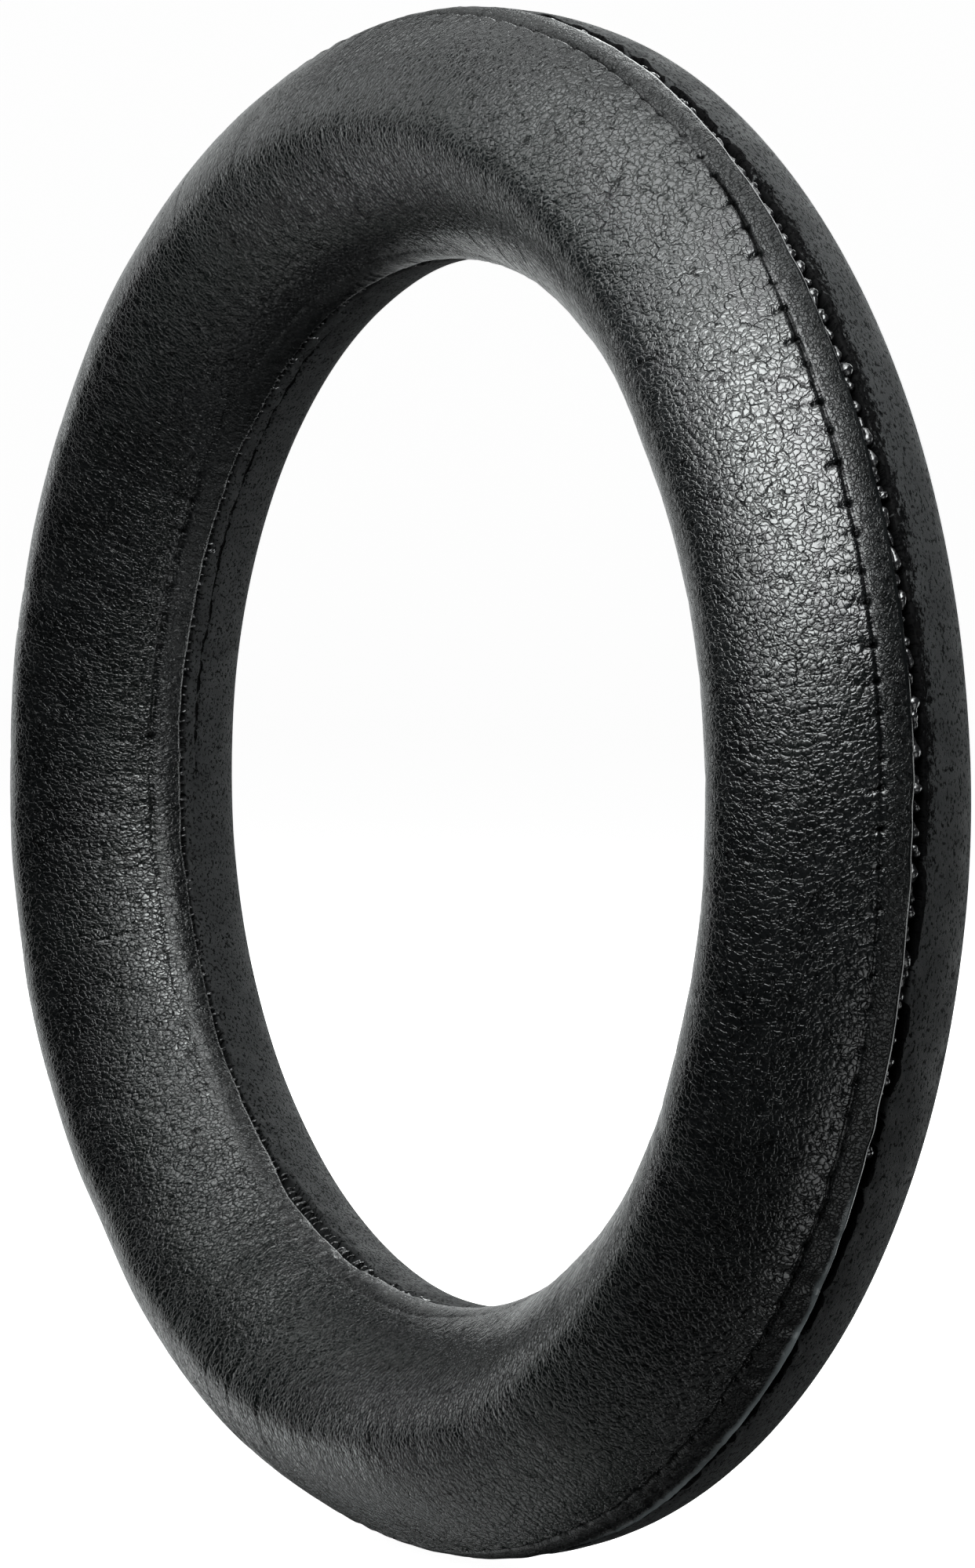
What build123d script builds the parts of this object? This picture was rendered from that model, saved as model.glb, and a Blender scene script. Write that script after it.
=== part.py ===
"""Round leather ear cushion for a headphone, standing upright on its rim.

The cushion is a ring about the Y axis. The crowned front, which meets the head, faces -Y, and the
flat back, which is stuck to the ear cup, faces +Y. Z is up. The origin is on the ring's axis, half
way between the front crest and the back face. Every ring-shaped piece is a section drawn in the
plane of X (radius) and Y (depth), then revolved about Y. Layers are even insets of one outline.
"""
import os
from math import pi

from build123d import *

os.makedirs("parts", exist_ok=True)

# Driving dimensions, in millimetres
outer_diameter = 105.0
inner_diameter = 71.2
crown_height = 9.2          # seam plane to the front crest
base_depth = 5.5            # seam plane to the leather's flat back
flat_back_width = 9.6       # level part of the back, between the rounded corners

leather = 0.8               # thickness of both covers
front_hem = 3.0             # width of the front cover's turned-under edges
rear_hem = 1.8              # width of the rear cover's turned-in edges
hem_fold_radius = 0.35      # outer rounding of a folded edge
seam_gap = 0.6              # space between the two folded edges, where the closing stitches lie
clearance = 0.05            # air between two loose layers

lining_thickness = 0.4
tape_thickness = 0.2
tape_front_reach = 3.5      # how far a seam tape runs from the seam under the front cover
tape_rear_reach = 2.4       # and under the rear cover
board_thickness = 1.0
adhesive_thickness = 0.3
adhesive_width = 7.8

seam_thread = 0.35          # thread diameters
top_thread = 0.30
seam_stitch_pitch = 1.3
seam_stitch_length = 0.95
topstitch_inset = 2.1       # distance of the topstitch from the folded edge
topstitch_pitch = 2.3
topstitch_length = 1.6
stitch_groove_radius = 0.3  # crease that the topstitch pulls into the leather

# How full each curve of the outline is: 0.55 would be a quarter ellipse
crown_side_fullness = 0.42
crown_top_fullness = 0.31
base_corner_fullness = 0.76

# Derived places
ring_radius = (outer_diameter + inner_diameter) / 4
half_width = (outer_diameter - inner_diameter) / 4
half_flat = flat_back_width / 2
seam_y = (crown_height - base_depth - adhesive_thickness) / 2
crest_y = seam_y - crown_height
back_y = seam_y + base_depth
front_edge_y = seam_y - seam_gap / 2
rear_edge_y = seam_y + seam_gap / 2

hem_inset = 2 * leather
tape_inset = hem_inset + clearance
bobbin_inset = tape_inset + tape_thickness + clearance + top_thread / 2
seam_relief = bobbin_inset + top_thread / 2 + 2 * clearance
lining_inset = leather + clearance
foam_inset = lining_inset + lining_thickness + clearance
board_back_y = back_y - leather - clearance
board_front_y = board_back_y - board_thickness
seam_thread_inset = seam_thread


def wall_curve(side, inset, corner_y, corner_offset, side_fullness, top_fullness):
    """One quarter of an inset outline, from the seam on one wall to the crest or to the flat back.

    side is +1 for the outside wall and -1 for the inside wall.
    """
    wall = ring_radius + side * (half_width - inset)
    corner = ring_radius + side * corner_offset
    return Bezier(
        (wall, seam_y),
        (wall, seam_y + side_fullness * (corner_y - seam_y)),
        (corner + top_fullness * (wall - corner), corner_y),
        (corner, corner_y),
    )


def crown_curve(side, inset):
    """The outline's front quarter on one wall, brought in by inset."""
    return wall_curve(side, inset, crest_y + inset, 0, crown_side_fullness, crown_top_fullness)


def base_curve(side, inset):
    """The outline's back quarter on one wall, brought in by inset."""
    return wall_curve(side, inset, back_y - inset, half_flat, base_corner_fullness, base_corner_fullness)


def inset_section(inset):
    """The cushion's section, brought in by inset on every side."""
    with BuildSketch() as section:
        with BuildLine():
            crown_curve(1, inset)
            crown_curve(-1, inset)
            outer_base = base_curve(1, inset)
            inner_base = base_curve(-1, inset)
            Line(outer_base @ 1, inner_base @ 1)
        make_face()
    return section.sketch


def layer(outer_inset, inner_inset, low_y, high_y):
    """The part of the section between two insets and between two depths.

    An inner_inset of None leaves the inside filled.
    """
    with BuildSketch() as band:
        add(inset_section(outer_inset))
        if inner_inset is not None:
            add(inset_section(inner_inset), mode=Mode.SUBTRACT)
        with Locations((ring_radius, (low_y + high_y) / 2)):
            Rectangle(4 * half_width, high_y - low_y, mode=Mode.INTERSECT)
    return band.sketch


def wall_side(sketch, side):
    """The faces of a section that lie on one wall: +1 is the outside wall, -1 the inside wall."""
    with BuildSketch() as one_wall:
        add(sketch)
        with Locations((ring_radius + side * half_width, seam_y)):
            Rectangle(2 * half_width, 4 * half_width, mode=Mode.INTERSECT)
    return one_wall.sketch


def topstitch_place(side, depth_below_surface):
    """A point at the topstitch line on one wall, at a given depth under the leather's surface."""
    with BuildLine() as crown:
        crown_curve(side, 0)
    edge = crown.edge()
    surface = edge.position_at(topstitch_inset, position_mode=PositionMode.LENGTH)
    along = edge.tangent_at(topstitch_inset, position_mode=PositionMode.LENGTH)
    square = Vector(-along.Y, along.X)
    towards_core = Vector(ring_radius, seam_y) - surface
    inward = square if square.dot(towards_core) > 0 else -square
    return surface + inward * depth_below_surface


def stitch_rod(diameter, length):
    """One stitch: a short rod along Y about the origin."""
    with BuildPart() as rod:
        Cylinder(diameter / 2, length, rotation=(90, 0, 0))
    return rod.part


def stitch_count(radius, pitch):
    """Whole number of stitches that fills a circle most evenly."""
    return round(2 * pi * radius / pitch)


# Sections shared by several pieces
front_skin = layer(0, leather, crest_y, front_edge_y)
front_hems = layer(leather, hem_inset, front_edge_y - front_hem, front_edge_y)
rear_skin = layer(0, leather, rear_edge_y, back_y)
rear_hems = layer(leather, hem_inset, rear_edge_y, rear_edge_y + rear_hem)
tape_low_y = seam_y - tape_front_reach
tape_high_y = seam_y + tape_rear_reach
tapes = layer(tape_inset, tape_inset + tape_thickness, tape_low_y, tape_high_y)
seam_room = layer(0, seam_relief, tape_low_y - clearance, tape_high_y + clearance)
seam_stitch = stitch_rod(seam_thread, seam_stitch_length)
topstitch = stitch_rod(top_thread, topstitch_length)
groove_depth = top_thread / 3


# Front cover: grained leather, crest to seam, with both edges turned under
with BuildPart() as front_cover:
    with BuildSketch() as front_cover_section:
        add(front_skin)
        add(front_hems)
        fillet(front_cover_section.vertices().group_by(Axis.Y)[-1], hem_fold_radius)
        with Locations(topstitch_place(1, 0), topstitch_place(-1, 0)):
            Circle(stitch_groove_radius, mode=Mode.SUBTRACT)
    revolve(axis=Axis.Y)
front_cover.part.label = "front_cover"
export_step(front_cover.part, "parts/front_cover.step")


# Rear cover: smooth leather, seam to flat back, with both edges turned in
with BuildPart() as rear_cover:
    with BuildSketch() as rear_cover_section:
        add(rear_skin)
        add(rear_hems)
        fillet(rear_cover_section.vertices().group_by(Axis.Y)[0], hem_fold_radius)
    revolve(axis=Axis.Y)
rear_cover.part.label = "rear_cover"
export_step(rear_cover.part, "parts/rear_cover.step")


# Lining behind the grained leather, from one turned edge over the crest to the other
with BuildPart() as front_lining:
    with BuildSketch():
        add(layer(lining_inset, lining_inset + lining_thickness, crest_y, front_edge_y - front_hem - clearance))
    revolve(axis=Axis.Y)
front_lining.part.label = "front_lining"
export_step(front_lining.part, "parts/front_lining.step")


# Stay tapes behind the outside and the inside seam
with BuildPart() as outer_seam_tape:
    with BuildSketch():
        add(wall_side(tapes, 1))
    revolve(axis=Axis.Y)
outer_seam_tape.part.label = "outer_seam_tape"
export_step(outer_seam_tape.part, "parts/outer_seam_tape.step")

with BuildPart() as inner_seam_tape:
    with BuildSketch():
        add(wall_side(tapes, -1))
    revolve(axis=Axis.Y)
inner_seam_tape.part.label = "inner_seam_tape"
export_step(inner_seam_tape.part, "parts/inner_seam_tape.step")


# Slow-recovery foam under the crown, relieved around the seams
with BuildPart() as crown_foam:
    with BuildSketch():
        add(layer(foam_inset, None, crest_y, seam_y - clearance / 2))
        add(seam_room, mode=Mode.SUBTRACT)
    revolve(axis=Axis.Y)
crown_foam.part.label = "crown_foam"
export_step(crown_foam.part, "parts/crown_foam.step")


# Firm foam between the crown foam and the board
with BuildPart() as base_foam:
    with BuildSketch():
        add(layer(lining_inset, None, seam_y + clearance / 2, board_front_y - clearance))
        add(seam_room, mode=Mode.SUBTRACT)
    revolve(axis=Axis.Y)
base_foam.part.label = "base_foam"
export_step(base_foam.part, "parts/base_foam.step")


# Stiff board inside the flat back
with BuildPart() as backing_ring:
    with BuildSketch():
        add(layer(lining_inset, None, board_front_y, board_back_y))
    revolve(axis=Axis.Y)
backing_ring.part.label = "backing_ring"
export_step(backing_ring.part, "parts/backing_ring.step")


# Double-sided ring on the flat back
with BuildPart() as mounting_adhesive:
    with BuildSketch():
        with Locations((ring_radius, back_y + adhesive_thickness / 2)):
            Rectangle(adhesive_width, adhesive_thickness)
    revolve(axis=Axis.Y)
mounting_adhesive.part.label = "mounting_adhesive"
export_step(mounting_adhesive.part, "parts/mounting_adhesive.step")


# Closing stitches, lying in the gap between the two covers
outer_seam_radius = outer_diameter / 2 - seam_thread_inset
with BuildPart(Plane.XZ.offset(-seam_y)) as outer_seam_thread:
    with PolarLocations(outer_seam_radius, stitch_count(outer_seam_radius, seam_stitch_pitch)):
        add(seam_stitch)
outer_seam_thread.part.label = "outer_seam_thread"
export_step(outer_seam_thread.part, "parts/outer_seam_thread.step")

inner_seam_radius = inner_diameter / 2 + seam_thread_inset
with BuildPart(Plane.XZ.offset(-seam_y)) as inner_seam_thread:
    with PolarLocations(inner_seam_radius, stitch_count(inner_seam_radius, seam_stitch_pitch)):
        add(seam_stitch)
inner_seam_thread.part.label = "inner_seam_thread"
export_step(inner_seam_thread.part, "parts/inner_seam_thread.step")


# Topstitches that hold down the front cover's turned edges: needle thread outside, bobbin thread inside
outer_needle = topstitch_place(1, groove_depth)
with BuildPart(Plane.XZ.offset(-outer_needle.Y)) as outer_topstitch_thread:
    with PolarLocations(outer_needle.X, stitch_count(outer_needle.X, topstitch_pitch)):
        add(topstitch)
outer_topstitch_thread.part.label = "outer_topstitch_thread"
export_step(outer_topstitch_thread.part, "parts/outer_topstitch_thread.step")

inner_needle = topstitch_place(-1, groove_depth)
with BuildPart(Plane.XZ.offset(-inner_needle.Y)) as inner_topstitch_thread:
    with PolarLocations(inner_needle.X, stitch_count(inner_needle.X, topstitch_pitch)):
        add(topstitch)
inner_topstitch_thread.part.label = "inner_topstitch_thread"
export_step(inner_topstitch_thread.part, "parts/inner_topstitch_thread.step")

outer_bobbin = topstitch_place(1, bobbin_inset)
with BuildPart(Plane.XZ.offset(-outer_bobbin.Y)) as outer_bobbin_thread:
    with PolarLocations(outer_bobbin.X, stitch_count(outer_needle.X, topstitch_pitch)):
        add(topstitch)
outer_bobbin_thread.part.label = "outer_bobbin_thread"
export_step(outer_bobbin_thread.part, "parts/outer_bobbin_thread.step")

inner_bobbin = topstitch_place(-1, bobbin_inset)
with BuildPart(Plane.XZ.offset(-inner_bobbin.Y)) as inner_bobbin_thread:
    with PolarLocations(inner_bobbin.X, stitch_count(inner_needle.X, topstitch_pitch)):
        add(topstitch)
inner_bobbin_thread.part.label = "inner_bobbin_thread"
export_step(inner_bobbin_thread.part, "parts/inner_bobbin_thread.step")
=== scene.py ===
"""Looks of a round leather ear cushion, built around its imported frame.

Lengths inside the mesh code are millimetres, and become metres when a mesh is made. The ring is about the
Y axis and its crowned front faces -Y. Every leather shell is written in shell coordinates: a distance along
the section's outline from the outside seam over to the inside seam, and a depth under that outline.
"""

import bpy
import numpy as np
from mathutils import Matrix, Vector


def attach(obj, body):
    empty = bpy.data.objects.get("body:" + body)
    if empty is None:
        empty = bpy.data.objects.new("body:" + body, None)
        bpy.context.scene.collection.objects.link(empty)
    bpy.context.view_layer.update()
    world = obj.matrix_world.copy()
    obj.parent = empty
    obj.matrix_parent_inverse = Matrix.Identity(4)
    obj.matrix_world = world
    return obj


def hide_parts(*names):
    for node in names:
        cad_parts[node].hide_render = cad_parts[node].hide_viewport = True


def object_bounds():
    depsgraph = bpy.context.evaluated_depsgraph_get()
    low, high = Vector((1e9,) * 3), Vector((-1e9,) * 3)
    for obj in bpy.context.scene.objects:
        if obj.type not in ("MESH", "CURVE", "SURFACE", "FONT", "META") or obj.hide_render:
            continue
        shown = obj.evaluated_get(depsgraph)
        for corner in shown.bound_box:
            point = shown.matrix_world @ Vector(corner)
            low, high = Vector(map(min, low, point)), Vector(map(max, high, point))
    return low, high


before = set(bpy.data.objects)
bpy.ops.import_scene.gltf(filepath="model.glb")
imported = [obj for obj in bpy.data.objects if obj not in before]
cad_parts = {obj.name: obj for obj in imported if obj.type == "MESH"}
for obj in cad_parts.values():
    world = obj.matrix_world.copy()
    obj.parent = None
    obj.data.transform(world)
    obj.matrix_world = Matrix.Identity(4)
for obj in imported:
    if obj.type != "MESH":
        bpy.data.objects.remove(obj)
cad_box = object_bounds()
MM = 0.001
TURNS = 2400                     # vertices round the ring
TAU = 2 * np.pi
phi = np.arange(TURNS) / TURNS * TAU     # angle round the ring, from +X towards +Z


# ------------------------------------------------------------------ places taken from the frame
def node_profile(node):
    """Radius and depth of every vertex of a CAD node, in millimetres."""
    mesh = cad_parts[node].data
    co = np.empty(3 * len(mesh.vertices))
    mesh.vertices.foreach_get("co", co)
    co = co.reshape(-1, 3) / MM
    return np.hypot(co[:, 0], co[:, 2]), co[:, 1]


front_radius, front_depth = node_profile("front_cover")
rear_radius, rear_depth = node_profile("rear_cover")
OUTSIDE = max(front_radius.max(), rear_radius.max())
INSIDE = min(front_radius.min(), rear_radius.min())
RING = (OUTSIDE + INSIDE) / 2            # radius of the tube's centre line
HALF = (OUTSIDE - INSIDE) / 2            # half the tube's width
GAP = (rear_depth.min() - front_depth.max()) / 2
SEAM_Y = rear_depth.min() - GAP
CROWN = SEAM_Y - front_depth.min()
BASE = rear_depth.max() - SEAM_Y
HALF_FLAT = 4.8                          # half the level part of the back
LEATHER = 0.8
HEM = 2 * LEATHER                        # thickness of a folded edge
HEM_REACH = 3.2                          # how far a folded edge reaches from the seam
DETAILED = 4.2                           # width of the finely meshed belt beside a seam


# ------------------------------------------------------------------ noise and small shape functions
def lattice(ix, iy, iz, seed):
    """A fixed pseudo-random value in -1..1 for each whole-number point."""
    h = (ix * 374761393 + iy * 668265263 + iz * 1274126177 + seed * 974634777) & 0xFFFFFFFF
    h = ((h ^ (h >> 13)) * 1103515245) & 0xFFFFFFFF
    return ((h ^ (h >> 16)) & 0xFFFF) / 32767.5 - 1


def noise(x, y, z, seed=0):
    """Smooth noise in -1..1."""
    x, y, z = np.broadcast_arrays(x, y, z)
    base = [np.floor(v).astype(np.int64) for v in (x, y, z)]
    part = [v - b for v, b in zip((x, y, z), base)]
    ease = [t * t * t * (t * (6 * t - 15) + 10) for t in part]
    total = np.zeros(x.shape)
    for corner in range(8):
        step = [(corner >> k) & 1 for k in range(3)]
        weight = np.ones(x.shape)
        for e, s in zip(ease, step):
            weight = weight * (e if s else 1 - e)
        total += weight * lattice(base[0] + step[0], base[1] + step[1], base[2] + step[2], seed)
    return total


def ring_noise(along, size, seed, stretch=1.0):
    """Noise over the shell without a join: size in mm round the ring, size * stretch along the section."""
    x, z = RING * np.cos(phi)[None, :] / size, RING * np.sin(phi)[None, :] / size
    return noise(x, z, along / (size * stretch), seed)


def line_noise(size, seed):
    """Noise round the ring only."""
    return ring_noise(np.zeros((1, 1)), size, seed)[0]


def bell(x, width):
    return np.exp(-(x / width) ** 2)


def step_up(x, low, high):
    t = np.clip((x - low) / (high - low), 0, 1)
    return t * t * (3 - 2 * t)


def near_angle(centre_deg, width_deg):
    """1 round an angle of the ring, falling off smoothly."""
    gap = np.abs((np.degrees(phi) - centre_deg + 180) % 360 - 180)
    return 1 - step_up(gap, 0.5 * width_deg, width_deg)


# ------------------------------------------------------------------ stretches of the ring that differ
PROUD_SEAM = near_angle(25, 42)          # the outside seam's thread stands proud, and the back panel beside it is darker
DEEP_STITCHES = near_angle(28, 45)       # the outside topstitch is pulled in deepest
SLACK_STITCHES = near_angle(-45, 40)     # the outside topstitch lies loosely
FRAYED_STITCHES = near_angle(-48, 32)    # its line strays most
OPEN_EDGE = near_angle(-48, 26)          # the outside seam gapes and shows its pale folded edge
INNER_CREASE = near_angle(165, 30)       # the inside topstitch shows as a crease
INNER_PULL = near_angle(165, 25)         # its stitches pull notches
LADDER = near_angle(245, 14)             # the inside seam is pulled open across its thread
STRIP_SEEN = near_angle(150, 45)         # the inside seam's back edge shows as a narrow strip
LOW_FOLDS = near_angle(265, 55)          # the filling has sunk, and the leather swells more
LOW_SHEEN = near_angle(262, 30)           # a pale bluish sheen is painted in streaks on the outside wall


class Outline:
    """A section outline as a dense line, with places and outward normals by distance along it."""

    def __init__(self, points):
        step = np.hypot(*np.diff(points, axis=0).T)
        dist = np.concatenate([[0], np.cumsum(step)])
        self.length = dist[-1]
        self.s = np.linspace(0, self.length, 4000)
        self.r = np.interp(self.s, dist, points[:, 0])
        self.y = np.interp(self.s, dist, points[:, 1])
        slope = np.gradient(np.stack([self.r, self.y], 1), self.s, axis=0)
        slope /= np.hypot(*slope.T)[:, None]
        side = slope[:, ::-1] * [1, -1]
        outward = np.sign(((points[len(points) // 2] - [RING, SEAM_Y]) * side[len(side) // 2]).sum())
        self.nr, self.ny = (side * outward).T

    def place(self, s, depth):
        """Radius and Y at a distance along the outline and a depth under it."""
        r, y, nr, ny = (np.interp(s, self.s, v) for v in (self.r, self.y, self.nr, self.ny))
        return r - nr * depth, y - ny * depth


def quarter(side, height, corner, side_fullness, top_fullness):
    """Bezier quarter from the wall at the seam to the crest or the flat back; height is signed in Y."""
    p = np.array([
        (HALF, 0), (HALF, side_fullness * height),
        (corner + top_fullness * (HALF - corner), height), (corner, height)])
    t = np.linspace(0, 1, 400)[:, None]
    q = (1 - t) ** 3 * p[0] + 3 * (1 - t) ** 2 * t * p[1] + 3 * (1 - t) * t ** 2 * p[2] + t ** 3 * p[3]
    return np.stack([RING + side * q[:, 0], SEAM_Y + q[:, 1]], 1)


def both_walls(**shape):
    outer, inner = quarter(1, **shape), quarter(-1, **shape)
    return np.concatenate([outer, inner[::-1][1:]])


# The front is softly crowned; the rear's corners are fuller, which makes it boxy.
front_line = Outline(both_walls(height=-CROWN, corner=0.0, side_fullness=0.42, top_fullness=0.31))
rear_line = Outline(both_walls(height=BASE, corner=HALF_FLAT, side_fullness=0.76, top_fullness=0.76))
FRONT_LENGTH = front_line.length - 2 * GAP       # from folded edge to folded edge
REAR_LENGTH = rear_line.length - 2 * GAP


# ------------------------------------------------------------------ mesh building
def facing_out(verts, faces):
    """Quads of closed meshes, all turned so that their outsides are out."""
    a, b, c, d = (verts[faces[:, k]] for k in range(4))
    volume = np.einsum("ij,ij->", a, np.cross(b, c)) + np.einsum("ij,ij->", a, np.cross(c, d))
    return faces if volume > 0 else faces[:, ::-1]


def new_mesh(name, verts, faces):
    """A smooth mesh object in metres from millimetre vertices and quads, riding on the one body."""
    mesh = bpy.data.meshes.new(name)
    mesh.vertices.add(len(verts))
    mesh.vertices.foreach_set("co", (np.asarray(verts) * MM).ravel())
    mesh.loops.add(faces.size)
    mesh.loops.foreach_set("vertex_index", faces.ravel())
    mesh.polygons.add(len(faces))
    mesh.polygons.foreach_set("loop_start", np.arange(0, faces.size, faces.shape[1]))
    mesh.update(calc_edges=True)
    mesh.polygons.foreach_set("use_smooth", np.ones(len(faces), bool))
    mesh.validate()
    obj = bpy.data.objects.new(name, mesh)
    bpy.context.scene.collection.objects.link(obj)
    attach(obj, "root")
    return obj


def add_attribute(obj, name, kind, values):
    layer = obj.data.attributes.new(name, kind, "POINT")
    field = "vector" if kind == "FLOAT_VECTOR" else "value"
    layer.data.foreach_set(field, np.asarray(values, float).ravel())


def closed_grid(rows, turns):
    """Quads of a grid that closes both ways, seen from outside."""
    i, j = np.meshgrid(np.arange(rows), np.arange(turns), indexing="ij")
    i2, j2 = (i + 1) % rows, (j + 1) % turns
    return np.stack([i * turns + j, i * turns + j2, i2 * turns + j2, i2 * turns + j], -1).reshape(-1, 4)


def shell_loop(length, fold, fine, coarse):
    """Shell coordinates of one leather panel's closed section: outer face, folded edges, inner face."""
    edge = np.arange(fold, DETAILED, fine)
    middle = np.linspace(DETAILED, length - DETAILED, int((length - 2 * DETAILED) / coarse))
    face = np.concatenate([edge, middle[:-1], length - edge[::-1]])
    turn = np.linspace(0, np.pi / 2, 7)[1:]
    bend, drop = fold * np.sin(turn), fold - fold * np.cos(turn)
    wall = np.linspace(fold, HEM, 6)[1:]
    near = np.array([1.0, 2.0, HEM_REACH])
    back = np.concatenate([near, np.linspace(DETAILED, length - DETAILED, 10), length - near[::-1]])
    back_depth = np.where((back > DETAILED - 0.5) & (back < length - DETAILED + 0.5), LEATHER, HEM)
    first = slice(-2, None, -1)
    s = np.concatenate([
        face, length - fold + bend, np.full(len(wall), length),
        back[::-1], np.zeros(len(wall)), fold - bend[first]])
    depth = np.concatenate([
        np.zeros(len(face)), drop, wall,
        back_depth[::-1], wall[::-1], drop[first]])
    return s, depth


def shell_mesh(name, outline, fold, fine, coarse, relief, shift, marks):
    """A closed leather panel. relief(s) raises its outer face in mm, shift(s) slides it along the section,
    and marks holds named functions of s for the material. The material also gets depth and grain, a place in
    mm whose third number runs along the section."""
    length = outline.length - 2 * GAP
    s, depth = (v[:, None] for v in shell_loop(length, fold, fine, coarse))
    held = np.clip(1 - depth / HEM, 0, 1)
    r, y = outline.place(GAP + s + shift(s) * held, depth - relief(s) * held)
    x, z = r * np.cos(phi), r * np.sin(phi)
    verts = np.stack([x, np.broadcast_to(y, x.shape), z], -1).reshape(-1, 3)
    obj = new_mesh(name, verts, facing_out(verts, closed_grid(len(s), TURNS)))
    along, flat = np.broadcast_arrays(s, x)[0], np.ones_like(s)
    grain = np.stack([RING * np.cos(phi) * flat, RING * np.sin(phi) * flat, along], -1)
    add_attribute(obj, "grain", "FLOAT_VECTOR", grain)
    add_attribute(obj, "depth", "FLOAT", np.broadcast_to(depth, x.shape))
    for mark, function in marks.items():
        add_attribute(obj, mark, "FLOAT", np.broadcast_to(function(s), x.shape))
    return obj


# ------------------------------------------------------------------ how the padded leather settles
SETTLE_TURNS, SETTLE_ROWS = 568, 44      # four cloth points to a topstitch
SETTLE_SCALE = 20                        # the cloth is simulated this much larger, where its solver is steady
SETTLE_CAP = 0.14                        # the foam behind lets no point settle further, in mm
SETTLE_CROWN = 0.22                      # share of it left on the crown, where the leather is tight
SETTLE_FADE = 3.5                        # distance from the outside seam over which it falls to that share
SETTLE_FRAMES = 20
HOLE_WIDTH = 0.45                        # how far round a stitch hole the leather is held
LOOSEST = 0.02                           # hold of the free leather, which keeps the solver steady
settle_turn = np.arange(SETTLE_TURNS) / SETTLE_TURNS * TAU


def settle_sheet(outline, rows):
    """The front panel as an open cloth sheet, in enlarged metres."""
    r, y = outline.place(rows[:, None], 0)
    x, z = r * np.cos(settle_turn), r * np.sin(settle_turn)
    verts = np.stack([x, np.broadcast_to(y, x.shape), z], -1).reshape(-1, 3) * MM * SETTLE_SCALE
    faces = closed_grid(len(rows), SETTLE_TURNS)[:(len(rows) - 1) * SETTLE_TURNS]
    mesh = bpy.data.meshes.new("settling_sheet")
    mesh.from_pydata(verts.tolist(), [], faces.tolist())
    sheet = bpy.data.objects.new("settling_sheet", mesh)
    bpy.context.scene.collection.objects.link(sheet)
    return sheet, verts


def settle_hold(rows, length, stitches):
    """How firmly each point is held: the folded edges fast, the stitch holes too, the crown hardly at all."""
    u = np.minimum(rows, length - rows)[:, None]
    hold = 1 - step_up(u, TOPSTITCH - 0.5, TOPSTITCH + 0.3)
    for angles, wall in ((stitches[1], rows < length / 2), (stitches[-1], rows > length / 2)):
        gap = np.abs(settle_turn[:, None] - angles[None, :]).min(1) * len(angles) / TAU
        hole = bell(gap[None, :], 0.22) * bell(u - TOPSTITCH, HOLE_WIDTH)
        hold = np.maximum(hold, hole * wall[:, None])
    return np.clip(np.broadcast_to(hold, (len(rows), SETTLE_TURNS)) + LOOSEST, 0, 1)


def run_cloth(sheet, hold):
    """Simulates the sheet under the filling's pressure and gives its settled vertices."""
    group = sheet.vertex_groups.new(name="hold")
    for index, weight in enumerate(hold.ravel()):
        group.add([index], float(weight), "REPLACE")
    cloth = sheet.modifiers.new("cloth", "CLOTH").settings
    cloth.vertex_group_mass = "hold"
    cloth.pin_stiffness = 1.0
    cloth.quality = 6
    cloth.mass = 0.3
    cloth.tension_stiffness = cloth.compression_stiffness = 12
    cloth.shear_stiffness = 6
    cloth.bending_stiffness = 2.0
    cloth.use_pressure = True
    cloth.uniform_pressure_force = 4
    cloth.shrink_min = -0.005
    cloth.effector_weights.gravity = 0
    for frame_number in range(1, SETTLE_FRAMES + 1):
        bpy.context.scene.frame_set(frame_number)
    evaluated = sheet.evaluated_get(bpy.context.evaluated_depsgraph_get())
    settled = evaluated.to_mesh()
    end = np.empty(3 * len(settled.vertices))
    settled.vertices.foreach_get("co", end)
    evaluated.to_mesh_clear()
    return end.reshape(-1, 3)


def settle(outline, stitches):
    """Cloth simulation of the front panel: the filling presses it out between its stitches, and leather cut
    slightly full gathers into soft puckers. Gives the rise in mm over a grid of the section and the ring."""
    rows = np.linspace(0, outline.length, SETTLE_ROWS)
    sheet, start = settle_sheet(outline, rows)
    end = run_cloth(sheet, settle_hold(rows, outline.length, stitches))
    mesh = sheet.data
    bpy.data.objects.remove(sheet)
    bpy.data.meshes.remove(mesh)
    bpy.context.scene.frame_set(1)
    moved = (end - start).reshape(SETTLE_ROWS, SETTLE_TURNS, 3) / (MM * SETTLE_SCALE)
    nr, ny = (np.interp(rows, outline.s, v)[:, None] for v in (outline.nr, outline.ny))
    sideways = moved[:, :, 0] * nr * np.cos(settle_turn) + moved[:, :, 2] * nr * np.sin(settle_turn)
    rise = sideways + moved[:, :, 1] * ny
    rise = rise - rise.mean(1, keepdims=True)
    share = SETTLE_CROWN + (1 - SETTLE_CROWN) * np.exp(-rows[:, None] / SETTLE_FADE)
    return share * SETTLE_CAP * np.tanh(rise / SETTLE_CAP)


def smooth_sample(table, at, wrap):
    """Catmull-Rom reading of the rows of a table at fractional places."""
    base = np.floor(at).astype(int)
    t = (at - base).reshape((-1,) + (1,) * (table.ndim - 1))
    pick = (lambda i: table[i % len(table)]) if wrap else (lambda i: table[np.clip(i, 0, len(table) - 1)])
    a, b, c, d = (pick(base + k) for k in (-1, 0, 1, 2))
    return b + 0.5 * t * (c - a + t * (2 * a - 5 * b + 4 * c - d + t * (3 * (b - c) + d - a)))


# ------------------------------------------------------------------ stitch places
def stitch_row(count, jitter, seed):
    """Angles of a row of stitch holes, nearly even."""
    rng = np.random.default_rng(seed)
    return (np.arange(count) + rng.uniform(-jitter, jitter, count)) / count * TAU


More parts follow.
